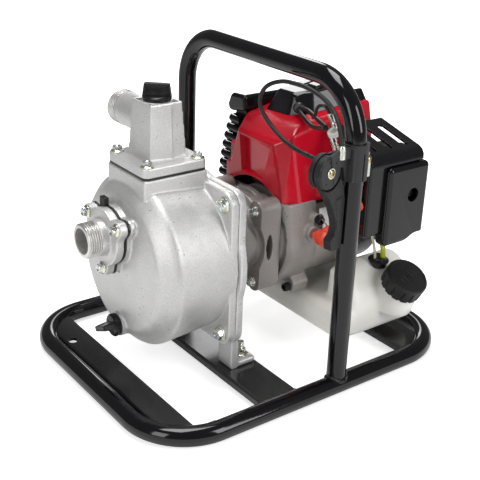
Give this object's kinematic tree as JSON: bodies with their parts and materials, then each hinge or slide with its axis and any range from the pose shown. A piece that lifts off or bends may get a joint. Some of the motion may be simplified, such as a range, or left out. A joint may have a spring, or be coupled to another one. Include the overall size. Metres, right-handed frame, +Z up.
{
  "type": "portable fire pump",
  "caption": "Portable self-priming water pump driven by a small two-stroke engine, on a tubular carrying frame with a throttle lever, fuel tank and recoil starter.",
  "frame": {"origin": "floor point under the middle of the base loop", "axes": "+X from the pump inlet towards the starter, +Y towards the muffler side, +Z up"},
  "size_m": [0.3724, 0.2898, 0.3145],
  "materials": {
    "black_enamel": "gloss black baked enamel",
    "cast_aluminium": "blasted die casting",
    "engine_casting": "warm grey die casting",
    "zinc_steel": "zinc plated",
    "machined_steel": "ground steel",
    "bronze": "cast bronze",
    "black_rubber": "matt black rubber",
    "black_plastic": "satin moulded plastic",
    "red_plastic": "glossy red moulded plastic",
    "orange_rubber": "satin orange-red rubber",
    "milky_plastic": "translucent milky polyethylene",
    "yellow_hose": "clear yellow fuel hose",
    "white_ceramic": "glazed ceramic",
    "cord": "braided cord"
  },
  "bodies": {
    "chassis": {"base_loop": "black_enamel", "handle_hoop": "black_enamel", "front_crossbar": "black_enamel", "middle_crossbar": "black_enamel", "rear_crossbar": "black_enamel", "pump_body": "cast_aluminium", "pump_bracket": "cast_aluminium", "volute_casing": "cast_aluminium", "shaft_seal": "white_ceramic", "inlet_gasket": "black_rubber", "inlet_flange": "cast_aluminium", "outlet_gasket": "black_rubber", "outlet_elbow": "cast_aluminium", "body_bolt_1": "zinc_steel", "body_bolt_2": "zinc_steel", "body_bolt_3": "zinc_steel", "body_bolt_4": "zinc_steel", "coupling_housing": "engine_casting", "fan_housing": "engine_casting", "crankcase": "engine_casting", "crank_bearing_front": "machined_steel", "crank_bearing_rear": "machined_steel", "cylinder": "engine_casting", "spark_plug": "white_ceramic", "engine_shroud": "red_plastic", "top_cover": "black_plastic", "muffler": "machined_steel", "muffler_guard": "black_plastic", "ignition_coil": "black_plastic", "carburettor": "cast_aluminium", "air_filter_base": "black_plastic", "air_filter_cover": "black_plastic", "guard_plate": "black_plastic", "fuel_tank": "milky_plastic", "fuel_line": "yellow_hose", "starter_housing": "black_plastic", "throttle_bracket": "black_plastic"},
    "rotor": {"impeller": "bronze", "pump_shaft": "machined_steel", "flywheel": "engine_casting", "crankshaft_front": "machined_steel", "crankshaft_rear": "machined_steel"},
    "piston": {"piston": "cast_aluminium", "piston_pin": "machined_steel"},
    "connecting_rod": {"connecting_rod": "machined_steel", "crank_pin": "machined_steel"},
    "inlet_flap": {"inlet_flap_valve": "black_rubber"},
    "priming_seal": {"priming_plug_seal": "black_rubber"},
    "priming_plug": {"priming_plug": "black_plastic"},
    "drain_seal": {"drain_plug_seal": "black_rubber"},
    "drain_plug": {"drain_plug": "black_plastic"},
    "throttle_arm": {"throttle_arm": "zinc_steel"},
    "choke_lever": {"choke_lever": "orange_rubber"},
    "fuel_cap_seal": {"fuel_cap_seal": "black_rubber"},
    "fuel_cap": {"fuel_cap": "black_plastic"},
    "starter_drum": {"starter_drum": "black_plastic"},
    "starter_handle": {"starter_rope": "cord", "starter_handle": "black_plastic"},
    "throttle_lever": {"throttle_lever": "black_plastic"},
    "stop_button": {"stop_button": "orange_rubber"}
  },
  "joints": [
    {"name": "rotor_spin", "type": "hinge", "parent": "chassis", "child": "rotor", "pos_m": [0, 0.008, 0.122], "axis": [1, 0, 0], "continuous": true},
    {"name": "piston_stroke", "type": "slide", "parent": "chassis", "child": "piston", "axis": [0, 0, -1], "range_m": [0, 0.032]},
    {"name": "rod_swing", "type": "hinge", "parent": "piston", "child": "connecting_rod", "pos_m": [0.085, 0.008, 0.198], "axis": [1, 0, 0], "range_deg": [-15, 15]},
    {"name": "flap_swing", "type": "hinge", "parent": "chassis", "child": "inlet_flap", "pos_m": [-0.1432, 0.008, 0.1695], "axis": [0, -1, 0], "range_deg": [0, 50]},
    {"name": "priming_rise", "type": "slide", "parent": "chassis", "child": "priming_seal", "axis": [0, 0, 1], "range_m": [0, 0.012]},
    {"name": "priming_unscrew", "type": "hinge", "parent": "priming_seal", "child": "priming_plug", "pos_m": [-0.095, 0.008, 0.275], "axis": [0, 0, 1], "range_deg": [0, 2160]},
    {"name": "drain_draw", "type": "slide", "parent": "chassis", "child": "drain_seal", "axis": [-1, 0, 0], "range_m": [0, 0.011]},
    {"name": "drain_unscrew", "type": "hinge", "parent": "drain_seal", "child": "drain_plug", "pos_m": [-0.1415, 0.008, 0.058], "axis": [-1, 0, 0], "range_deg": [0, 1980]},
    {"name": "cap_draw", "type": "slide", "parent": "chassis", "child": "fuel_cap_seal", "axis": [0, -0.5, 0.866], "range_m": [0, 0.015]},
    {"name": "cap_unscrew", "type": "hinge", "parent": "fuel_cap_seal", "child": "fuel_cap", "pos_m": [0.131, -0.1105, 0.08367], "axis": [0, -0.5, 0.866], "range_deg": [0, 1800]},
    {"name": "lever_swing", "type": "hinge", "parent": "chassis", "child": "throttle_lever", "pos_m": [-0.0144, -0.1374, 0.2345], "axis": [-0.2079, 0.9781, 0], "range_deg": [0, 50]},
    {"name": "throttle_turn", "type": "hinge", "parent": "chassis", "child": "throttle_arm", "pos_m": [0.085, -0.061, 0.196], "axis": [0, 0, 1], "range_deg": [0, 65.1]},
    {"name": "choke_swing", "type": "hinge", "parent": "chassis", "child": "choke_lever", "pos_m": [0.0697, -0.097, 0.172], "axis": [1, 0, 0], "range_deg": [0, 60]},
    {"name": "starter_pull", "type": "slide", "parent": "chassis", "child": "starter_handle", "axis": [0, 0, 1], "range_m": [0, 0.6], "deforming": ["starter_rope"]},
    {"name": "drum_spin", "type": "hinge", "parent": "chassis", "child": "starter_drum", "pos_m": [0.148, 0.008, 0.122], "axis": [1, 0, 0], "range_deg": [0, 1815]},
    {"name": "stop_press", "type": "slide", "parent": "chassis", "child": "stop_button", "axis": [0, 1, 0], "range_m": [0, 0.003]}
  ],
  "couplings": [
    {"joint": "priming_rise", "follows": "priming_unscrew", "m_per_rad": 0.00031831},
    {"joint": "drain_draw", "follows": "drain_unscrew", "m_per_rad": 0.00031831},
    {"joint": "cap_draw", "follows": "cap_unscrew", "m_per_rad": 0.00047746},
    {"joint": "throttle_turn", "follows": "lever_swing", "ratio": 1.3},
    {"joint": "drum_spin", "follows": "starter_pull", "rad_per_m": 52.77}
  ]
}
